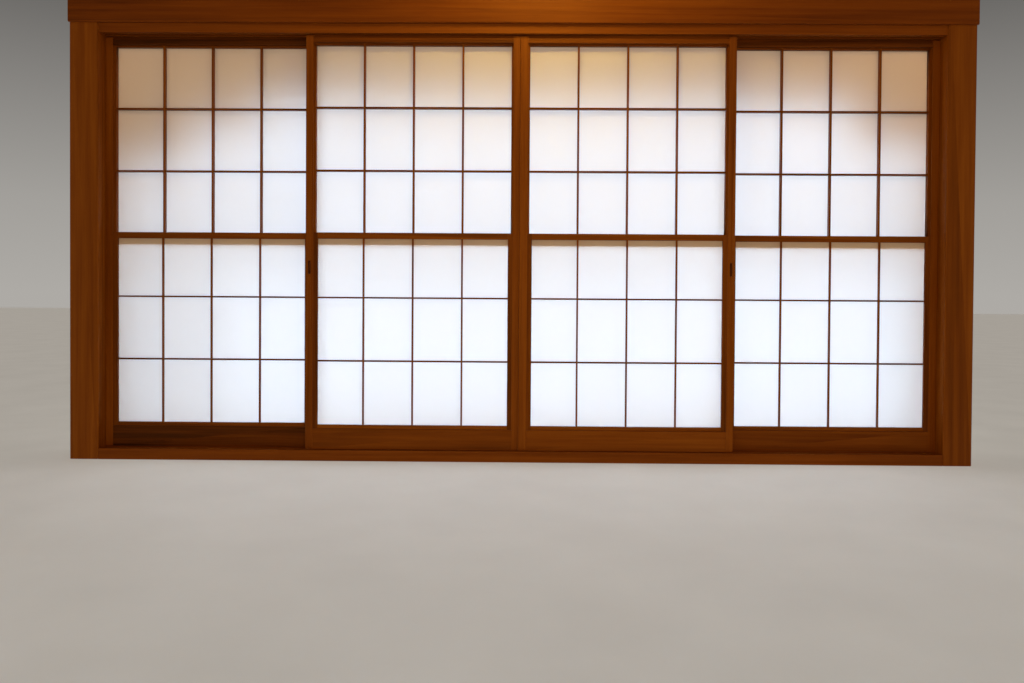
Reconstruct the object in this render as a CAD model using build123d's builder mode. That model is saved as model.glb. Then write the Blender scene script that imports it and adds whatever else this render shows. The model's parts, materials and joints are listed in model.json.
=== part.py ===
from build123d import *
import os

os.makedirs("parts", exist_ok=True)

# A four-panel shoji screen in its own post-and-track frame. The room side faces -Y.
# Lengths are millimetres. The origin is the middle of the footprint, on the ground.
# Depths inside a panel count from its room face, and its heights from the top of the sill.

# Frame
clear_width = 3520.0
clear_height = 1737.0
post_size = 120.0
post_chamfer = 5.0
post_rise = 18.0
sill_thickness = 45.0
sill_groove_depth = 3.0
head_thickness = 39.0
head_groove_depth = 15.0
head_setback = 6.0
casing_height = 105.0
casing_proud = 12.0
casing_housing = 12.0
casing_chamfer = 3.0
frame_tenon_length = 36.0
frame_tenon_depth = 34.0
frame_tenon_height = 16.0

# Tracks
track_pitch = 40.0
tongue_depth = 23.0
tongue_play = 0.5
head_engagement = 12.0
run_gap = 0.3

# Panels
panel_overlap = 35.0
panel_depth = 36.0
post_gap = 0.4
meeting_gap = 0.6
stile_face = 31.0
top_rail_face = 20.0
top_rail_drop = 13.5
stile_drop = 6.5
foot_gap = 1.0
bottom_rail_height = 86.3
mid_rail_height = 45.0
mid_rail_drop = 7.0
arris = 0.8
meeting_slant = 5.4
tenon_length = 22.0
tenon_depth = 6.0
tenon_front = 17.3
tenon_shoulder = 6.0

# Upper lattice
bead_face = 7.5
column_count = 4
row_count = 3
kumiko_face = 7.5
kumiko_depth = 18.0
kumiko_tenon = 5.0
paper_thickness = 0.4

# Glass behind the sash
glass_thickness = 3.0
glass_play = 0.3
glass_front = 24.3
glass_seat = 5.0

# Lift-up sash
lip_depth = 3.5
sash_depth = 11.5
sash_play = 0.35
sash_lattice_gap = 0.95
sash_engagement = 4.5
sash_groove_depth = 6.0
sash_stile_face = 18.8
sash_top_face = 26.0
sash_bottom_face = 16.0
sash_opening_height = 782.0
sash_first_row = 247.0
sash_row_pitch = 266.0
sash_seat_gap = 0.3
sash_kumiko_face = 7.0
sash_kumiko_setback = 1.0
sash_paper_rebate = 0.8
sash_paper_lap = 6.0
sash_tenon_length = 12.0
sash_tenon_depth = 4.0
sash_tenon_shoulder = 4.0

# Leaf springs on the edges of the sash
spring_length = 90.0
spring_width = 6.0
spring_thickness = 0.4
spring_gap = 0.35
spring_inset = 120.0

# Finger pulls
pull_width = 10.0
pull_height = 58.0
pull_depth = 8.0
pull_centre = 764.0
pull_round = 2.0

# Places in the frame
half_clear = clear_width / 2
frame_front = (casing_proud - post_size) / 2
frame_middle = frame_front + post_size / 2
sill_top = sill_thickness
head_bottom = sill_top + clear_height
head_top = head_bottom + head_thickness
casing_top = head_top + casing_height
post_top = casing_top + post_rise
sill_tenon_foot = (sill_thickness - sill_groove_depth - frame_tenon_height) / 2
head_tenon_foot = head_top - (head_thickness - head_groove_depth + frame_tenon_height) / 2
groove_width = tongue_depth + 2 * tongue_play
near_front = frame_middle - (panel_depth + track_pitch) / 2
far_front = near_front + track_pitch
tongue_front = panel_depth - tongue_depth

# Places in a panel
panel_width = (half_clear - post_gap - meeting_gap / 2 + panel_overlap) / 2
panel_foot = run_gap - sill_groove_depth
panel_top = clear_height + head_engagement
rail_left = stile_face
rail_right = panel_width - stile_face
top_rail_shoulder = clear_height - top_rail_drop
top_rail_under = top_rail_shoulder - top_rail_face
upper_top = top_rail_under - bead_face
sash_front = lip_depth + sash_play
sash_back = sash_front + sash_depth
sash_groove_width = sash_depth + 2 * sash_play
lattice_front = sash_back + sash_lattice_gap
lattice_back = lattice_front + kumiko_depth
sash_left = rail_left - sash_engagement
sash_right = rail_right + sash_engagement
sash_foot = bottom_rail_height + sash_seat_gap
sash_opening_bottom = sash_foot + sash_bottom_face
sash_opening_top = sash_opening_bottom + sash_opening_height
sash_top = sash_opening_top + sash_top_face
mid_rail_top = sash_top - mid_rail_drop
mid_rail_under = mid_rail_top - mid_rail_height
upper_bottom = mid_rail_top + bead_face

# Columns and rows, measured like the panel's own places
upper_left = rail_left + bead_face
upper_right = rail_right - bead_face
column_pitch = (upper_right - upper_left + kumiko_face) / column_count
columns = [upper_left - kumiko_face / 2 + column_pitch * (i + 1) for i in range(column_count - 1)]
row_pitch = (upper_top - upper_bottom + kumiko_face) / row_count
rows = [upper_bottom - kumiko_face / 2 + row_pitch * (i + 1) for i in range(row_count - 1)]
sash_opening_left = rail_left + sash_stile_face
sash_opening_right = rail_right - sash_stile_face
sash_rows = [sash_opening_top - sash_first_row - sash_row_pitch * i for i in range(row_count - 1)]
sash_kumiko_front = sash_front + sash_kumiko_setback
sash_kumiko_back = sash_back - sash_paper_rebate


def block(x0, x1, y0, y1, z0, z1, mode=Mode.ADD):
    """Add or cut a bar that runs between two opposite corners."""
    with BuildSketch(Plane.XY.offset(z0)) as section:
        with Locations(((x0 + x1) / 2, (y0 + y1) / 2)):
            Rectangle(abs(x1 - x0), abs(y1 - y0))
    extrude(section.sketch, amount=z1 - z0, mode=mode)


def profile_bar(outline, x0, x1):
    """Run a closed outline of (depth, height) points along X."""
    with BuildSketch(Plane.YZ.offset(x0)) as section:
        with BuildLine():
            Polyline(*outline, close=True)
        make_face()
    extrude(section.sketch, amount=x1 - x0)


def save(part, name):
    part.label = name
    export_step(part, f"parts/{name}.step")


# Frame pieces
def build_post(side):
    """A square post. The side is -1 for the left one and 1 for the right one."""
    inner = side * half_clear
    outer = side * (half_clear + post_size)
    with BuildPart() as post:
        block(inner, outer, frame_front, frame_front + post_size, 0, post_top)
        chamfer(post.edges().filter_by(Axis.Z), post_chamfer)
        for foot in (sill_tenon_foot, head_tenon_foot):
            frame_tenon(side, foot, Mode.SUBTRACT)
    return post.part


def frame_tenon(side, foot, mode):
    """The tenon of a track in a post, or its mortise."""
    block(side * half_clear, side * (half_clear + frame_tenon_length),
          frame_middle - frame_tenon_depth / 2, frame_middle + frame_tenon_depth / 2,
          foot, foot + frame_tenon_height, mode)


def groove_edges():
    """The front and back of each groove, from the near track to the far one."""
    fronts = [front + tongue_front - tongue_play for front in (near_front, far_front)]
    return [(front, front + groove_width) for front in fronts]


def build_sill():
    """The sill, with two shallow grooves in its top."""
    with BuildPart() as sill:
        block(-half_clear, half_clear, frame_front, frame_front + post_size, 0, sill_top)
        for front, back in groove_edges():
            block(-half_clear, half_clear, front, back,
                  sill_top - sill_groove_depth, sill_top, Mode.SUBTRACT)
        for side in (-1, 1):
            frame_tenon(side, sill_tenon_foot, Mode.ADD)
    return sill.part


def build_head():
    """The head, with two deep grooves in its underside."""
    front_face = frame_front + head_setback
    back_face = frame_front + post_size - head_setback
    with BuildPart() as head:
        block(-half_clear, half_clear, front_face, back_face, head_bottom, head_top)
        for front, back in groove_edges():
            block(-half_clear, half_clear, front, back,
                  head_bottom, head_bottom + head_groove_depth, Mode.SUBTRACT)
        for side in (-1, 1):
            frame_tenon(side, head_tenon_foot, Mode.ADD)
    return head.part


def build_casing():
    """The board over the head, housed around the front of both posts."""
    front_face = frame_front - casing_proud
    back_face = frame_front + casing_housing
    end = half_clear + post_size
    with BuildPart() as casing:
        block(-end, end, front_face, back_face, head_top, casing_top)
        lower_edge = casing.edges().filter_by(Axis.X).group_by(Axis.Y)[0].sort_by(Axis.Z)[0]
        chamfer(lower_edge, casing_chamfer)
        for side in (-1, 1):
            block(side * half_clear, side * end, frame_front, back_face,
                  head_top, casing_top, Mode.SUBTRACT)
    return casing.part


# Fixed pieces of a panel
def rail_tenon(bottom, top, mode):
    """The two tenons of a rail, or their mortises in the stiles."""
    for joint, inward in ((rail_left, -1), (rail_right, 1)):
        block(joint, joint + inward * tenon_length, tenon_front, tenon_front + tenon_depth,
              bottom + tenon_shoulder, top - tenon_shoulder, mode)


def build_stile(outer, inner, pull=False, meets=False):
    """An upright of the panel, with the sash groove, the glass groove and three mortises.

    Where the two near panels meet, both outer edges are planed to the same slant, so that no
    light shows straight through the joint.
    """
    inward = 1 if inner > outer else -1
    stile_shoulder = clear_height - stile_drop
    with BuildPart() as stile:
        profile_bar([(tongue_front, panel_foot), (panel_depth, panel_foot),
                     (panel_depth, panel_top), (tongue_front, panel_top),
                     (tongue_front, stile_shoulder), (0, stile_shoulder),
                     (0, foot_gap), (tongue_front, foot_gap)],
                    outer - inward * meeting_slant / 2 if meets else outer, inner)
        if meets:
            split(bisect_by=Plane(origin=(outer, panel_depth / 2, 0),
                                  z_dir=(inward * panel_depth, -inward * meeting_slant, 0)))
        chamfer(stile.edges().filter_by(Axis.Z).group_by(Axis.Y)[0], arris)
        block(inner, inner - inward * sash_groove_depth, lip_depth, lip_depth + sash_groove_width,
              bottom_rail_height, top_rail_under, Mode.SUBTRACT)
        block(inner, inner - inward * (glass_seat + glass_play),
              glass_front - glass_play, glass_front + glass_thickness + glass_play,
              bottom_rail_height - glass_seat, mid_rail_under + glass_seat, Mode.SUBTRACT)
        rail_tenon(foot_gap, bottom_rail_height, Mode.SUBTRACT)
        rail_tenon(mid_rail_under, mid_rail_top, Mode.SUBTRACT)
        rail_tenon(top_rail_under, top_rail_shoulder, Mode.SUBTRACT)
        if pull:
            with BuildSketch(Plane.XZ) as slot:
                with Locations(((outer + inner) / 2, pull_centre)):
                    SlotOverall(pull_height, pull_width, rotation=90)
            extrude(amount=-pull_depth, mode=Mode.SUBTRACT)
            floor = stile.faces().filter_by(Axis.Y).filter_by_position(
                Axis.Y, pull_depth - arris, pull_depth + arris).sort_by(SortBy.AREA)[0]
            fillet(floor.edges(), pull_round)
    return stile.part


def build_top_rail():
    """The top rail, cut back at the front so that its tongue runs in the head."""
    with BuildPart() as rail:
        profile_bar([(0, top_rail_under), (panel_depth, top_rail_under), (panel_depth, panel_top),
                     (tongue_front, panel_top), (tongue_front, top_rail_shoulder),
                     (0, top_rail_shoulder)], rail_left, rail_right)
        chamfer(rail.edges().filter_by(Axis.X).group_by(Axis.Y)[0], arris)
        rail_tenon(top_rail_under, top_rail_shoulder, Mode.ADD)
    return rail.part


def glass_groove(start, end):
    block(rail_left, rail_right, glass_front - glass_play,
          glass_front + glass_thickness + glass_play, start, end, Mode.SUBTRACT)


def build_mid_rail():
    """The rail behind the top of the sash. It holds the glass from above."""
    with BuildPart() as rail:
        block(rail_left, rail_right, lattice_front, panel_depth, mid_rail_under, mid_rail_top)
        glass_groove(mid_rail_under, mid_rail_under + glass_seat + glass_play)
        rail_tenon(mid_rail_under, mid_rail_top, Mode.ADD)
    return rail.part


def build_bottom_rail():
    """The wide bottom rail. The sash stands on it, and the glass in it."""
    with BuildPart() as rail:
        profile_bar([(tongue_front, panel_foot), (panel_depth, panel_foot),
                     (panel_depth, bottom_rail_height), (0, bottom_rail_height),
                     (0, foot_gap), (tongue_front, foot_gap)], rail_left, rail_right)
        chamfer(rail.edges().filter_by(Axis.X).group_by(Axis.Y)[0], arris)
        glass_groove(bottom_rail_height - glass_seat, bottom_rail_height)
        rail_tenon(foot_gap, bottom_rail_height, Mode.ADD)
    return rail.part


def build_glass():
    with BuildPart() as glass:
        block(rail_left - glass_seat, rail_right + glass_seat,
              glass_front, glass_front + glass_thickness,
              bottom_rail_height - glass_seat, mid_rail_under + glass_seat)
    return glass.part


# Lattices
def build_uprights(xs, zs, foot, top, front, back, face):
    """Upright bars, halved from behind where each cross bar passes."""
    middle = (front + back) / 2
    with BuildPart() as bars:
        for x in xs:
            block(x - face / 2, x + face / 2, front, back, foot, top)
            for z in zs:
                block(x - face / 2, x + face / 2, middle, back,
                      z - face / 2, z + face / 2, Mode.SUBTRACT)
    return bars.part.solids()


def build_cross_bars(xs, zs, left, right, front, back, face):
    """Cross bars, halved from the front where each upright passes."""
    middle = (front + back) / 2
    with BuildPart() as bars:
        for z in zs:
            block(left, right, front, back, z - face / 2, z + face / 2)
            for x in xs:
                block(x - face / 2, x + face / 2, front, middle,
                      z - face / 2, z + face / 2, Mode.SUBTRACT)
    return bars.part.solids()


def build_side_beads():
    """The upright beads at the sides of the upper lattice, with a mortise for each cross bar."""
    with BuildPart() as beads:
        for joint, edge in ((rail_left, upper_left), (upper_right, rail_right)):
            block(joint, edge, lattice_front, lattice_back, mid_rail_top, top_rail_under)
        for z in rows:
            block(upper_left - kumiko_tenon, upper_right + kumiko_tenon,
                  lattice_front, lattice_back, z - kumiko_face / 2, z + kumiko_face / 2,
                  Mode.SUBTRACT)
    return beads.part.solids()


def build_level_beads():
    """The beads above and below the upper lattice, with a mortise for each upright."""
    with BuildPart() as beads:
        for foot, top in ((mid_rail_top, upper_bottom), (upper_top, top_rail_under)):
            block(upper_left, upper_right, lattice_front, lattice_back, foot, top)
        for x in columns:
            block(x - kumiko_face / 2, x + kumiko_face / 2, lattice_front, lattice_back,
                  upper_bottom - kumiko_tenon, upper_top + kumiko_tenon, Mode.SUBTRACT)
    return beads.part.solids()


def build_upper_lattice():
    uprights = build_uprights(columns, rows, upper_bottom - kumiko_tenon, upper_top + kumiko_tenon,
                              lattice_front, lattice_back, kumiko_face)
    cross_bars = build_cross_bars(columns, rows, upper_left - kumiko_tenon,
                                  upper_right + kumiko_tenon, lattice_front, lattice_back,
                                  kumiko_face)
    return Compound([*uprights, *cross_bars, *build_side_beads(), *build_level_beads()])


def build_upper_paper():
    with BuildPart() as paper:
        block(rail_left, rail_right, lattice_back, lattice_back + paper_thickness,
              mid_rail_top, top_rail_under)
    return paper.part


# Sash
def sash_rail_tenon(bottom, top, mode):
    """The two tenons of a sash rail, or their mortises."""
    middle = (sash_front + sash_kumiko_back) / 2
    for joint, inward in ((sash_opening_left, -1), (sash_opening_right, 1)):
        block(joint, joint + inward * sash_tenon_length,
              middle - sash_tenon_depth / 2, middle + sash_tenon_depth / 2,
              bottom + sash_tenon_shoulder, top - sash_tenon_shoulder, mode)


def sash_paper_seat():
    """Cut the shallow recess behind the sash in which its paper lies."""
    block(sash_opening_left - sash_paper_lap, sash_opening_right + sash_paper_lap,
          sash_kumiko_back, sash_back,
          sash_opening_bottom - sash_paper_lap, sash_opening_top + sash_paper_lap, Mode.SUBTRACT)


def build_sash_stiles():
    with BuildPart() as stiles:
        for outer, inner in ((sash_left, sash_opening_left), (sash_opening_right, sash_right)):
            block(outer, inner, sash_front, sash_back, sash_foot, sash_top)
        sash_rail_tenon(sash_foot, sash_opening_bottom, Mode.SUBTRACT)
        sash_rail_tenon(sash_opening_top, sash_top, Mode.SUBTRACT)
        for z in sash_rows:
            block(sash_opening_left - kumiko_tenon, sash_opening_right + kumiko_tenon,
                  sash_kumiko_front, sash_kumiko_back,
                  z - sash_kumiko_face / 2, z + sash_kumiko_face / 2, Mode.SUBTRACT)
        sash_paper_seat()
    return Compound(stiles.part.solids())


def build_sash_rails():
    with BuildPart() as rails:
        for foot, top in ((sash_foot, sash_opening_bottom), (sash_opening_top, sash_top)):
            block(sash_opening_left, sash_opening_right, sash_front, sash_back, foot, top)
            sash_rail_tenon(foot, top, Mode.ADD)
        for x in columns:
            block(x - sash_kumiko_face / 2, x + sash_kumiko_face / 2,
                  sash_kumiko_front, sash_kumiko_back,
                  sash_opening_bottom - kumiko_tenon, sash_opening_top + kumiko_tenon,
                  Mode.SUBTRACT)
        sash_paper_seat()
    return Compound(rails.part.solids())


def build_sash_lattice():
    uprights = build_uprights(columns, sash_rows, sash_opening_bottom - kumiko_tenon,
                              sash_opening_top + kumiko_tenon, sash_kumiko_front,
                              sash_kumiko_back, sash_kumiko_face)
    cross_bars = build_cross_bars(columns, sash_rows, sash_opening_left - kumiko_tenon,
                                  sash_opening_right + kumiko_tenon, sash_kumiko_front,
                                  sash_kumiko_back, sash_kumiko_face)
    return Compound([*uprights, *cross_bars])


def build_sash_paper():
    with BuildPart() as paper:
        block(sash_opening_left - sash_paper_lap, sash_opening_right + sash_paper_lap,
              sash_kumiko_back, sash_kumiko_back + paper_thickness,
              sash_opening_bottom - sash_paper_lap, sash_opening_top + sash_paper_lap)
    return paper.part


def build_sash_springs():
    """Bowed leaves on both edges of the sash. They press in the stile grooves and hold it up."""
    bow = sash_groove_depth - sash_engagement - spring_gap
    middle = (sash_front + sash_back) / 2
    with BuildPart() as springs:
        for edge, outward in ((sash_left, -1), (sash_right, 1)):
            for z in (sash_foot + spring_inset, sash_top - spring_inset):
                with BuildSketch(Plane.XZ.offset(-middle)):
                    with BuildLine():
                        foot = (edge, z - spring_length / 2)
                        top = (edge, z + spring_length / 2)
                        outer = ThreePointArc(foot, (edge + outward * bow, z), top)
                        inner = ThreePointArc(
                            (edge, top[1] - spring_width),
                            (edge + outward * (bow - spring_thickness), z),
                            (edge, foot[1] + spring_width))
                        Line(outer @ 1, inner @ 0)
                        Line(inner @ 1, outer @ 0)
                    make_face()
                extrude(amount=spring_width / 2, both=True)
    return Compound(springs.part.solids())


def save_panel(number, left, front):
    """Write every piece of one panel at its place on its track."""
    place = Location((left, front, sill_top))
    pieces = {
        "stile_left": build_stile(0, stile_face, pull=number == 2, meets=number == 3),
        "stile_right": build_stile(panel_width, rail_right, pull=number == 3, meets=number == 2),
        "top_rail": build_top_rail(),
        "mid_rail": build_mid_rail(),
        "bottom_rail": build_bottom_rail(),
        "upper_lattice": build_upper_lattice(),
        "upper_paper": build_upper_paper(),
        "glass": build_glass(),
        "sash_stiles": build_sash_stiles(),
        "sash_rails": build_sash_rails(),
        "sash_lattice": build_sash_lattice(),
        "sash_paper": build_sash_paper(),
        "sash_springs": build_sash_springs(),
    }
    for name, piece in pieces.items():
        save(piece.moved(place), f"{name}_{number}")


save(build_post(-1), "post_left")
save(build_post(1), "post_right")
save(build_sill(), "sill_track")
save(build_head(), "head_track")
save(build_casing(), "head_casing")

far_left = -half_clear + post_gap
near_left = -meeting_gap / 2 - panel_width
save_panel(1, far_left, far_front)
save_panel(2, near_left, near_front)
save_panel(3, -near_left - panel_width, near_front)
save_panel(4, -far_left - panel_width, far_front)
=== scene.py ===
import bpy
import json
import math
from mathutils import Matrix, Vector

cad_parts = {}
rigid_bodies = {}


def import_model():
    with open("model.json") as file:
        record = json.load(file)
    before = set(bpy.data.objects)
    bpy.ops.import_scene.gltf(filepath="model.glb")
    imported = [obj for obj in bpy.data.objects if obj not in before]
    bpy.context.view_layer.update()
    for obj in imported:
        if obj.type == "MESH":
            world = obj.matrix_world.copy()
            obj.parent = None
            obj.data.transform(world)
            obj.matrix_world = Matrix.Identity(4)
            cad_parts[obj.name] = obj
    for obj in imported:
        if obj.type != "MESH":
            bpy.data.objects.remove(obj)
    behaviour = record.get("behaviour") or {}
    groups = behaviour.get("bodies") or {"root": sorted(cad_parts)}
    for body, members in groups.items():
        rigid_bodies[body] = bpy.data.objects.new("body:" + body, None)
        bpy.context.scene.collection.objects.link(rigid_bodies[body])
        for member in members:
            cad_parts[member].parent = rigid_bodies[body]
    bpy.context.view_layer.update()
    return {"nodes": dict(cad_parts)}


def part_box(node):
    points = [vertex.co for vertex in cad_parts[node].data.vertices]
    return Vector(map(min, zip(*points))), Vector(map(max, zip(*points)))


for leftover in list(bpy.data.objects):
    bpy.data.objects.remove(leftover)
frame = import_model()

# Camera: the photograph's view, in a picture 1024 pixels wide.
PICTURE_WIDTH = 1024
SENSOR_WIDTH = 36.0
FOCAL_PIXELS = 811.5
CAMERA_PLACE = (-0.001, -3.427, 0.7033)
CAMERA_TURN = math.radians(-0.51)
CAMERA_TILT = math.radians(-0.80)
CAMERA_ROLL = math.radians(0.37)
AXIS_ABOVE_MIDDLE = 36.4

# Daylight comes through the paper from panels of light behind the screen, each given by its
# left, right, foot, top and share of the full strength.
DAYLIGHT_POWER_PER_AREA = 15.2
DAYLIGHT_BEHIND = 0.22
DAYLIGHT_PANELS = ((-1.12, 1.42, 0.80, 1.52, 0.80), (-1.42, -1.12, 0.80, 1.42, 0.71),
                   (-1.74, -1.42, 0.80, 1.27, 0.56), (1.42, 1.74, 0.80, 1.36, 0.70),
                   (-1.28, 1.72, 0.04, 0.80, 1.08), (-1.74, -1.28, 0.04, 0.80, 0.76))
DAYLIGHT_COLOUR = (0.56, 0.74, 0.95)
DAYLIGHT_SPREAD = math.radians(130)

# The room's lights: place, target and size in metres, power in watts. The corner lights are the
# warmer glow on the outermost papers, and fall on the papers alone.
ROOM_COLOUR = (1.0, 0.58, 0.26)
KEY_COLOUR = (1.0, 0.76, 0.16)
ROOM_LIGHTS = (
    ("key", (0.10, -0.60, 2.25), (0.10, 0.0, 1.8), (0.5, 0.2), 5.0, KEY_COLOUR),
    ("ceiling", (0.15, -2.3, 3.3), (0.0, 0.0, 1.6), (1.0, 0.8), 6.5, ROOM_COLOUR),
    ("fill", (0.3, -4.2, 1.2), (0.0, 0.0, 0.7), (2.5, 1.6), 37.0, ROOM_COLOUR),
    ("side", (-7.0, -1.5, 1.3), (0.0, 0.0, 0.9), (1.5, 1.5), 42.0, ROOM_COLOUR),
    ("side", (7.0, -1.5, 1.3), (0.0, 0.0, 0.9), (1.5, 1.5), 42.0, ROOM_COLOUR),
)
CORNER_LIGHTS = (
    ("corner", (-1.85, -0.75, 2.0), (-1.62, 0.0, 1.58), (0.3, 0.3), 1.5, ROOM_COLOUR),
    ("corner", (1.85, -0.75, 2.0), (1.62, 0.0, 1.58), (0.3, 0.3), 2.5, ROOM_COLOUR),
)

# In every material, a pattern is the scale, detail and roughness of its noise, and a bump is its
# strength and its height in metres.

# Floor and surround
FLOOR_REACH = 30
FLOOR_SPECKLES = (3.0, 3.0)
SPECKLE_PLACES = (0.3, 0.7)
FLOOR_COLOURS = ((0.70, 0.68, 0.65), (0.74, 0.72, 0.69))
FLOOR_ROUGHNESS = 0.8
FLOOR_LIGHT_STRENGTH = 1.5
FLOOR_LIGHT_COLOUR = (1.0, 0.94, 0.86)
FLOOR_LIGHT_ANGLE = math.radians(25)
SKY_TONES = ((0.0, 0.42), (0.10, 0.36), (0.32, 0.13), (1.0, 0.08))
SKY_GREEN = 0.96
SKY_BLUE = 0.90

# Wood tones, from the dark late wood to the light early wood, and their places on the scale.
TONES = {
    "post_wood": ((0.083, 0.018, 0.0008), (0.183, 0.044, 0.0018), (0.265, 0.076, 0.005)),
    "track_wood": ((0.074, 0.014, 0.0007), (0.166, 0.037, 0.0016), (0.243, 0.063, 0.004)),
    "casing_wood": ((0.074, 0.014, 0.0007), (0.164, 0.035, 0.0016), (0.243, 0.062, 0.004)),
    "panel_wood": ((0.083, 0.018, 0.0008), (0.183, 0.043, 0.0018), (0.265, 0.075, 0.005)),
    "kumiko_wood": ((0.076, 0.016, 0.0008), (0.172, 0.040, 0.0018), (0.255, 0.071, 0.005)),
}
TONE_PLACES = (0.16, 0.50, 0.86)
BLACKEST = 0.35  # the scale's foot, as a share of the dark tone

# Members that are darker than the rest of their kind, in hundredths of the tone scale: painted
# shade on the listed top rails, which stand in the head's shadow, and on the bottom rails, where
# the light falls off towards the ends; the sash frames' own darker tone; and painted shade on the
# cross bars of the lattices, in parts of the scale.
PAINTED_SHADE = {"top_rail_1": 42, "top_rail_2": 22, "top_rail_3": 9, "top_rail_4": 32,
          "bottom_rail_1": 38, "bottom_rail_4": 4}
SASH_FRAME_DARKER = 16
TONE_PER_HUNDREDTH = -0.01
CROSS_BAR_PAINTED_SHADE = 0.16

# Each member is cut from another part of the tree: how far its random numbers move the grain.
MEMBER_SHIFT = 7.0
ISLAND_SHIFT = 5.0
SHIFT_IN_DEPTH = 0.37
SHIFT_ALONG = 3.1

# Growth rings: their spacing in metres, how they lean, wander and sharpen.
RING_SPACING = 0.0034
RING_TURN = 0.35
RING_DRIFT = 26.0
DRIFT_SCALES = (4.0, 4.0, 1.1)
DRIFT_DETAIL = 3.0
RING_SHARPNESS = 2.5

# Patterns in the wood: scale, stretch along the grain, detail and roughness of the noise.
STREAKS = (46.0, 0.028, 4.0, 0.6)
FIBRES = (900.0, 0.016, 3.0, 0.65)
BANDS = (9.0, 0.12, 2.0, 0.5)

# Each pattern's share in the tone, and the offset that keeps the tone's middle where it is.
STREAK_TONE = (0.95, 0.04)
BAND_TONE = (0.35, -0.175)
RING_TONE = (-0.20, 0.06)
FIBRE_TONE = (0.30, -0.15)
MEMBER_TONE = (0.14, -0.07)
MEMBER_TONE_TURNS = 13.7

# The wood's surface. Roughness is a pattern's share and an offset.
WOOD_SHEEN = (1.0, 0.52, 0.18, 1.0)
WOOD_SPECULAR = 0.25
RING_ROUGHNESS = (0.08, 0.44)
FIBRE_ROUGHNESS = (0.16, -0.08)
RING_HEIGHT = 0.5
WOOD_BUMP = (0.22, 0.0003)
EDGE_ROUND = 0.0006
EDGE_SEGMENTS = 2
SHARP_EDGE = math.radians(50)
WELD_REACH = 0.00001

# Lattices
BEAD_FACE = 0.0075
COLUMN_COUNT = 4
MASK_MARGIN = 0.0001

# The finger pulls' hollows, darkened with painted shade.
PULL_NODES = ("stile_left_2", "stile_right_3")
PULL_HEIGHT = 0.809
PULL_HALF_LENGTH = 0.031
PULL_RIM_DEPTH = 0.0012
PULL_PAINTED_SHADE = -0.42
PANEL_FRONT = -0.032

# Paper: the fibres and clouds that its thickness is made of, with their weights, the colours of
# its thin and thick places, and the share of light that each face lets in. The room face's warm
# colour is partly the paper's own and partly painted warm room light; the daylight face's dark
# grey is painted shade.
UPRIGHT_FIBRE_SCALES = (520.0, 1.0, 30.0)
UPRIGHT_FIBRES = (1.0, 3.0, 0.6)
STRAY_FIBRES = (340.0, 4.0, 0.7)
CLOUDS = (14.0, 3.0)
UPRIGHT_FIBRE_WEIGHT = 0.5
STRAY_FIBRE_WEIGHT = 0.3
CLOUD_WEIGHT = 0.2
PAPER_PLACES = (0.30, 0.70)
PAPER_ROOM_FACE = ((0.83, 0.64, 0.43), (0.92, 0.74, 0.52))
PAPER_THROUGH = ((0.92, 0.92, 0.92), (0.80, 0.80, 0.80))
PAPER_DAYLIGHT_FACE_PAINTED_SHADE = ((0.30, 0.30, 0.29), (0.36, 0.36, 0.35))
PAPER_ROUGHNESS = 0.9
PAPER_BUMP = (0.25, 0.0002)
ROOM_FACE_OPENNESS = 0.36
DAYLIGHT_FACE_OPENNESS = 0.80

# Glass
GLASS_TINT = (0.14, 0.20, 0.18, 1.0)
GLASS_ALPHA = 0.08
GLASS_WAVES = (6.0, 1.0)
GLASS_SMEARS = (18.0, 4.0, 0.6)
SMEAR_ROUGHNESS = (0.05, 0.01)
GLASS_BUMP = (0.05, 0.001)

# The springs' strip metal
SCRATCH_SCALES = (900.0, 900.0, 40.0)
SCRATCHES = (1.0, 3.0, 0.6)
SCRATCH_PLACES = (0.3, 0.7)
METAL_COLOURS = ((0.42, 0.40, 0.36), (0.62, 0.60, 0.56))
METAL_ROUGHNESS = (0.3, 0.22)
METAL_BUMP = (0.1, 0.0002)


def add_camera():
    data = bpy.data.cameras.new("camera")
    data.sensor_width = SENSOR_WIDTH
    data.lens = FOCAL_PIXELS * SENSOR_WIDTH / PICTURE_WIDTH
    data.shift_y = -AXIS_ABOVE_MIDDLE / PICTURE_WIDTH
    camera = bpy.data.objects.new("camera", data)
    bpy.context.collection.objects.link(camera)
    ahead = Vector((math.sin(CAMERA_TURN) * math.cos(CAMERA_TILT),
                    math.cos(CAMERA_TURN) * math.cos(CAMERA_TILT),
                    math.sin(CAMERA_TILT)))
    level = Vector((math.cos(CAMERA_TURN), -math.sin(CAMERA_TURN), 0.0))
    upright = level.cross(ahead)
    right = level * math.cos(CAMERA_ROLL) + upright * math.sin(CAMERA_ROLL)
    up = upright * math.cos(CAMERA_ROLL) - level * math.sin(CAMERA_ROLL)
    axes = Matrix((right, up, -ahead)).transposed().to_4x4()
    camera.matrix_world = Matrix.Translation(CAMERA_PLACE) @ axes
    bpy.context.scene.camera = camera


def add_area_light(name, place, target, size, power, colour, receivers, spread=math.pi,
                   in_reflections=True):
    data = bpy.data.lights.new(name, "AREA")
    data.shape = "RECTANGLE"
    data.size, data.size_y = size
    data.energy = power
    data.color = colour
    data.spread = spread
    light = bpy.data.objects.new(name, data)
    bpy.context.collection.objects.link(light)
    light.location = place
    light.rotation_euler = (Vector(target) - Vector(place)).to_track_quat("-Z", "Y").to_euler()
    light.visible_camera = False
    light.visible_glossy = in_reflections
    light.light_linking.receiver_collection = receivers


def nodes_named(name, part_of_name=""):
    """A collection of the nodes with this in their names, for lights that fall on them alone."""
    collection = bpy.data.collections.new(name)
    for node_name, node in frame["nodes"].items():
        if part_of_name in node_name:
            collection.objects.link(node)
    return collection


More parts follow.
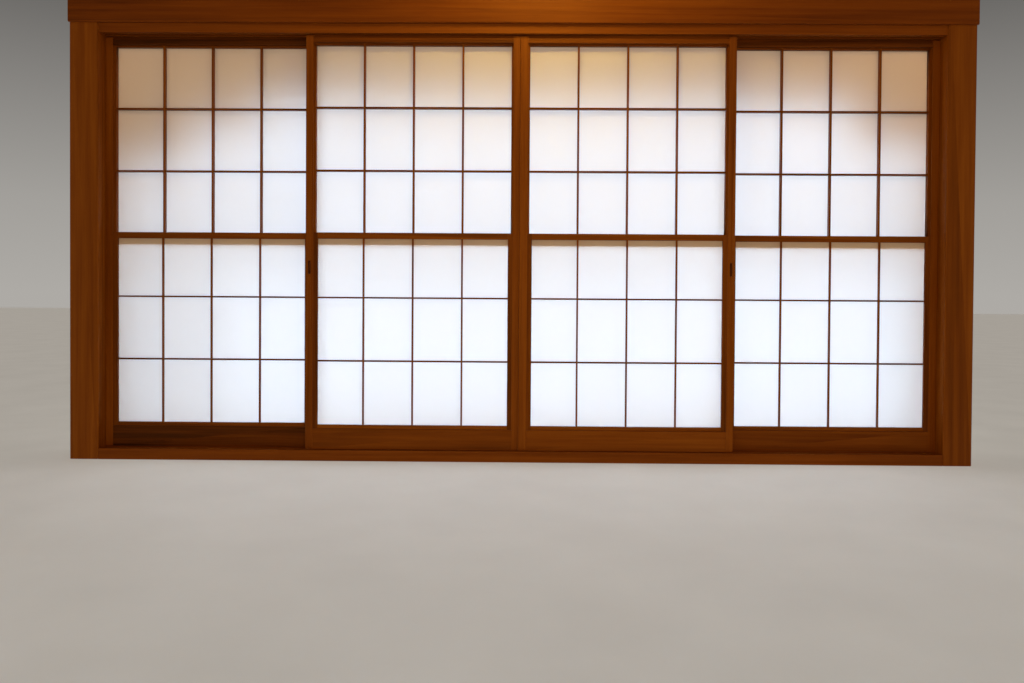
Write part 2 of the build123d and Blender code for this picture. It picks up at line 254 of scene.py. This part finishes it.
def add_screen_lights():
    """Daylight behind the screen and the room's lights before it."""
    screen_alone = nodes_named("screen_alone")
    for left, right, foot, top, strength in DAYLIGHT_PANELS:
        middle = ((left + right) / 2, DAYLIGHT_BEHIND, (foot + top) / 2)
        size = (right - left, top - foot)
        add_area_light("daylight", middle, (middle[0], 0.0, middle[2]), size,
                       DAYLIGHT_POWER_PER_AREA * strength * size[0] * size[1], DAYLIGHT_COLOUR,
                       screen_alone, DAYLIGHT_SPREAD, False)
    for light in ROOM_LIGHTS:
        add_area_light(*light, screen_alone)
    papers_alone = nodes_named("papers_alone", "paper")
    for light in CORNER_LIGHTS:
        add_area_light(*light, papers_alone)


class Graph:
    """A short way to write shader nodes."""

    def __init__(self, name):
        self.material = bpy.data.materials.new(name)
        self.material.use_nodes = True
        self.tree = self.material.node_tree
        self.tree.nodes.clear()
        self.output = self.tree.nodes.new("ShaderNodeOutputMaterial")

    def add(self, kind, settings=None, **inputs):
        node = self.tree.nodes.new("ShaderNode" + kind)
        for key, value in (settings or {}).items():
            setattr(node, key, value)
        for key, value in inputs.items():
            socket = self.socket(node, key)
            if hasattr(value, "is_output"):
                self.tree.links.new(value, socket)
            else:
                socket.default_value = value
        return node

    @staticmethod
    def socket(node, key):
        if key.startswith("in") and key[2:].isdigit():
            return node.inputs[int(key[2:])]
        wanted = key.replace("_", " ").lower()
        return next(s for s in node.inputs if s.name.lower() == wanted and s.enabled)

    def math(self, operation, first, second=0.0, third=0.0):
        return self.add("Math", {"operation": operation},
                        in0=first, in1=second, in2=third).outputs[0]

    def scaled(self, value, factor, offset=0.0):
        """value * factor + offset"""
        return self.math("MULTIPLY_ADD", value, factor, offset)

    def choose(self, first, second, factor):
        """first where factor is 0, second where it is 1"""
        return self.scaled(self.math("SUBTRACT", second, first), factor, first)

    def vector(self, x, y, z):
        return self.add("CombineXYZ", x=x, y=y, z=z).outputs[0]

    def stretched(self, axes, scales):
        return self.vector(*(self.scaled(axis, scale) for axis, scale in zip(axes, scales)))

    def place(self):
        """The object coordinates, and their x, y and z."""
        place = self.add("TexCoord").outputs["Object"]
        return place, *self.add("SeparateXYZ", vector=place).outputs

    def noise(self, vector, scale, detail=2.0, roughness=0.5):
        return self.add("TexNoise", vector=vector, scale=scale, detail=detail,
                        roughness=roughness).outputs[0]

    def ramp(self, factor, places, colours):
        node = self.add("ValToRGB", fac=factor)
        elements = node.color_ramp.elements
        while len(elements) < len(places):
            elements.new(1.0)
        for element, place, colour in zip(elements, places, colours):
            element.position = place
            element.color = (*colour, 1.0)
        return node.outputs[0]

    def bump(self, height, strength, distance):
        return self.add("Bump", height=height, strength=strength, distance=distance).outputs[0]

    def mix(self, factor, first, second):
        return self.add("MixShader", in0=factor, in1=first, in2=second).outputs[0]

    def finish(self, surface):
        self.tree.links.new(surface, self.output.inputs["Surface"])
        return self.material


def wood_material(name, tones, grain, columns=None, pull=False):
    """Straight-grained timber, browned by age. The grain runs along X, along Z, or in a lattice
    along each of its bars: columns gives the place of one upright and the pitch."""
    g = Graph(name)
    _, x, y, z = g.place()
    if grain == "lattice":
        first, pitch = columns
        off_column = g.math("PINGPONG", g.scaled(x, 1.0, -first), pitch / 2)
        upright = g.math("LESS_THAN", off_column, BEAD_FACE / 2 + MASK_MARGIN)
    else:
        upright = 1.0 if grain == "Z" else 0.0
    along = g.choose(x, z, upright)
    across = g.choose(z, x, upright)

    member = g.scaled(g.add("ObjectInfo").outputs["Random"], MEMBER_SHIFT,
                      g.scaled(g.add("NewGeometry").outputs["Random Per Island"], ISLAND_SHIFT))
    across = g.math("ADD", across, member)
    deep = g.scaled(member, SHIFT_IN_DEPTH, y)
    along = g.scaled(member, SHIFT_ALONG, along)

    def pattern(scale, stretch, detail, roughness):
        return g.noise(g.vector(across, deep, g.scaled(along, stretch)), scale, detail, roughness)

    drift = g.noise(g.stretched((across, deep, along), DRIFT_SCALES), 1.0, DRIFT_DETAIL)
    turned = g.scaled(deep, RING_TURN, across)
    phase = g.scaled(turned, math.tau / RING_SPACING, g.scaled(drift, RING_DRIFT))
    ring = g.math("POWER", g.scaled(g.math("SINE", phase), 0.5, 0.5), RING_SHARPNESS)
    streak = pattern(*STREAKS)
    fibre = pattern(*FIBRES)
    band = pattern(*BANDS)
    own_tone = g.math("FRACT", g.scaled(member, MEMBER_TONE_TURNS))
    tone = g.scaled(streak, *STREAK_TONE)
    for part, weights in ((band, BAND_TONE), (ring, RING_TONE), (fibre, FIBRE_TONE),
                          (own_tone, MEMBER_TONE)):
        tone = g.math("ADD", tone, g.scaled(part, *weights))
    # Painted shade: the lattices' cross bars are darker than the uprights, as if their faces lay
    # in shade.
    if grain == "lattice":
        tone = g.math("ADD", tone, g.scaled(upright, CROSS_BAR_PAINTED_SHADE, -CROSS_BAR_PAINTED_SHADE))
    # Painted shade on the listed members, and the sash frames' darker tone, through their pass
    # index.
    tone = g.scaled(g.add("ObjectInfo").outputs["Object Index"], TONE_PER_HUNDREDTH, tone)
    # Painted shade in the finger pull's hollow, behind the front face.
    if pull:
        level = g.math("ABSOLUTE", g.scaled(z, 1.0, -PULL_HEIGHT))
        pull_shade_mask = g.math("MULTIPLY", g.math("LESS_THAN", level, PULL_HALF_LENGTH),
                        g.math("GREATER_THAN", y, PANEL_FRONT + PULL_RIM_DEPTH))
        tone = g.scaled(pull_shade_mask, PULL_PAINTED_SHADE, tone)
    black = tuple(BLACKEST * part for part in tones[0])
    colour = g.ramp(tone, (0.0, *TONE_PLACES), (black, *tones))
    roughness = g.math("ADD", g.scaled(ring, *RING_ROUGHNESS), g.scaled(fibre, *FIBRE_ROUGHNESS))
    height = g.math("ADD", g.scaled(ring, RING_HEIGHT), fibre)
    shader = g.add("BsdfPrincipled", base_color=colour, roughness=roughness,
                   specular_ior_level=WOOD_SPECULAR, specular_tint=WOOD_SHEEN,
                   normal=g.bump(height, *WOOD_BUMP))
    return g.finish(shader.outputs[0])


def paper_material():
    """Handmade paper: long fibres, mostly upright, cloudy where they lie thicker. The face to the
    daylight lets more of it in, and its dark grey colour is painted shade, so that it doesn't
    glare beside the room's face; the room face's warm colour is partly painted warm room light."""
    g = Graph("paper")
    place, x, y, z = g.place()
    upright_fibre = g.noise(g.stretched((x, y, z), UPRIGHT_FIBRE_SCALES), *UPRIGHT_FIBRES)
    stray_fibre = g.noise(place, *STRAY_FIBRES)
    cloud = g.noise(place, *CLOUDS)
    thickness = g.math("ADD", g.scaled(upright_fibre, UPRIGHT_FIBRE_WEIGHT),
                       g.scaled(stray_fibre, STRAY_FIBRE_WEIGHT))
    thickness = g.math("ADD", thickness, g.scaled(cloud, CLOUD_WEIGHT))
    weave = g.bump(thickness, *PAPER_BUMP)
    through = g.add("BsdfTranslucent", color=g.ramp(thickness, PAPER_PLACES, PAPER_THROUGH))

    def face(colours, openness):
        colour = g.ramp(thickness, PAPER_PLACES, colours)
        surface = g.add("BsdfPrincipled", base_color=colour, roughness=PAPER_ROUGHNESS,
                        normal=weave)
        return g.mix(openness, surface.outputs[0], through.outputs[0])

    # Which face this is, also where light meets it from inside the sheet.
    surface = g.add("NewGeometry").outputs
    across = g.add("SeparateXYZ", vector=surface["Normal"]).outputs["Y"]
    outward = g.math("MULTIPLY", across, g.scaled(surface["Backfacing"], -2.0, 1.0))
    daylight_side = g.math("GREATER_THAN", outward, 0.0)
    # The room face's colour is partly painted warm room light; the daylight face's colour is
    # painted shade.
    return g.finish(g.mix(daylight_side, face(PAPER_ROOM_FACE, ROOM_FACE_OPENNESS),
                          face(PAPER_DAYLIGHT_FACE_PAINTED_SHADE, DAYLIGHT_FACE_OPENNESS)))


def glass_material():
    """Clear glass, slightly wavy, with the smears of a wiped pane."""
    g = Graph("glass")
    place, *_ = g.place()
    waves = g.noise(place, *GLASS_WAVES)
    smears = g.noise(place, *GLASS_SMEARS)
    shader = g.add("BsdfPrincipled", base_color=GLASS_TINT, alpha=GLASS_ALPHA,
                   roughness=g.scaled(smears, *SMEAR_ROUGHNESS),
                   normal=g.bump(waves, *GLASS_BUMP))
    return g.finish(shader.outputs[0])


def spring_material():
    """Bright strip metal, scratched along the leaf."""
    g = Graph("spring_metal")
    _, *axes = g.place()
    scratch = g.noise(g.stretched(axes, SCRATCH_SCALES), *SCRATCHES)
    colour = g.ramp(scratch, SCRATCH_PLACES, METAL_COLOURS)
    shader = g.add("BsdfPrincipled", base_color=colour, metallic=1.0,
                   roughness=g.scaled(scratch, *METAL_ROUGHNESS),
                   normal=g.bump(scratch, *METAL_BUMP))
    return g.finish(shader.outputs[0])


def floor_material():
    g = Graph("floor")
    place, *_ = g.place()
    colour = g.ramp(g.noise(place, *FLOOR_SPECKLES), SPECKLE_PLACES, FLOOR_COLOURS)
    shader = g.add("BsdfPrincipled", base_color=colour, roughness=FLOOR_ROUGHNESS)
    return g.finish(shader.outputs[0])


def add_floor():
    mesh = bpy.data.meshes.new("floor")
    corners = [(x * FLOOR_REACH, y * FLOOR_REACH, 0)
               for x, y in ((-1, -1), (1, -1), (1, 1), (-1, 1))]
    mesh.from_pydata(corners, [], [(0, 1, 2, 3)])
    floor = bpy.data.objects.new("floor", mesh)
    bpy.context.collection.objects.link(floor)
    mesh.materials.append(floor_material())
    return floor


def add_floor_light(floor):
    """An even light on the floor alone, whose shadow falls behind the screen."""
    data = bpy.data.lights.new("floor_light", "SUN")
    data.energy = FLOOR_LIGHT_STRENGTH
    data.color = FLOOR_LIGHT_COLOUR
    data.angle = FLOOR_LIGHT_ANGLE
    light = bpy.data.objects.new("floor_light", data)
    bpy.context.collection.objects.link(light)
    light.rotation_euler = (FLOOR_LIGHT_ANGLE, 0.0, 0.0)
    floor_alone = bpy.data.collections.new("floor_alone")
    floor_alone.objects.link(floor)
    light.light_linking.receiver_collection = floor_alone


def add_sky():
    """A studio surround that is palest near the horizon."""
    world = bpy.data.worlds.new("world")
    bpy.context.scene.world = world
    world.use_nodes = True
    tree = world.node_tree
    height = tree.nodes.new("ShaderNodeSeparateXYZ")
    tree.links.new(tree.nodes.new("ShaderNodeTexCoord").outputs["Generated"], height.inputs[0])
    ramp = tree.nodes.new("ShaderNodeValToRGB")
    elements = ramp.color_ramp.elements
    while len(elements) < len(SKY_TONES):
        elements.new(1.0)
    for element, (place, level) in zip(elements, SKY_TONES):
        element.position = place
        element.color = (level, SKY_GREEN * level, SKY_BLUE * level, 1.0)
    tree.links.new(height.outputs["Z"], ramp.inputs[0])
    tree.links.new(ramp.outputs[0], tree.nodes["Background"].inputs["Color"])


def lattice_columns(number):
    """The place of one upright of a panel's lattices, and the pitch of the columns."""
    low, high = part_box(f"upper_lattice_{number}")
    return low[0] + BEAD_FACE / 2, (high[0] - low[0] - BEAD_FACE) / COLUMN_COUNT


def grain_of(name):
    if "lattice" in name:
        return "lattice"
    return "Z" if "stile" in name or "post" in name else "X"


def soften_edges(node):
    """Join the seams of the imported mesh and ease its sharp edges."""
    weld = node.modifiers.new("weld", "WELD")
    weld.merge_threshold = WELD_REACH
    bevel = node.modifiers.new("bevel", "BEVEL")
    bevel.width = EDGE_ROUND
    bevel.segments = EDGE_SEGMENTS
    bevel.limit_method = "ANGLE"
    bevel.angle_limit = SHARP_EDGE
    bevel.use_clamp_overlap = True
    normals = node.modifiers.new("normals", "WEIGHTED_NORMAL")
    normals.keep_sharp = False


def dress_nodes():
    """Give each CAD node its material, with one wood material for each timber and grain."""
    other_materials = {"paper": paper_material(), "glass": glass_material(),
                       "spring_metal": spring_material()}
    wood_materials = {}
    for name, node in frame["nodes"].items():
        slot = node.material_slots[0].name.split(".")[0]
        if slot not in TONES:
            node.material_slots[0].material = other_materials[slot]
            continue
        grain = grain_of(name)
        columns = lattice_columns(int(name[-1])) if grain == "lattice" else None
        key = (slot, grain, columns, name in PULL_NODES)
        if key not in wood_materials:
            wood_materials[key] = wood_material(f"{slot}_{grain.lower()}", TONES[slot], *key[1:])
        node.material_slots[0].material = wood_materials[key]
        # The pass index carries the listed members' painted shade, or the sash frames' darker
        # tone.
        usual = SASH_FRAME_DARKER if name.startswith("sash_stiles") else 0
        node.pass_index = PAINTED_SHADE.get(name, usual)
        soften_edges(node)


dress_nodes()
add_camera()
bpy.context.scene.view_settings.view_transform = "Standard"
add_screen_lights()
add_floor_light(add_floor())
add_sky()
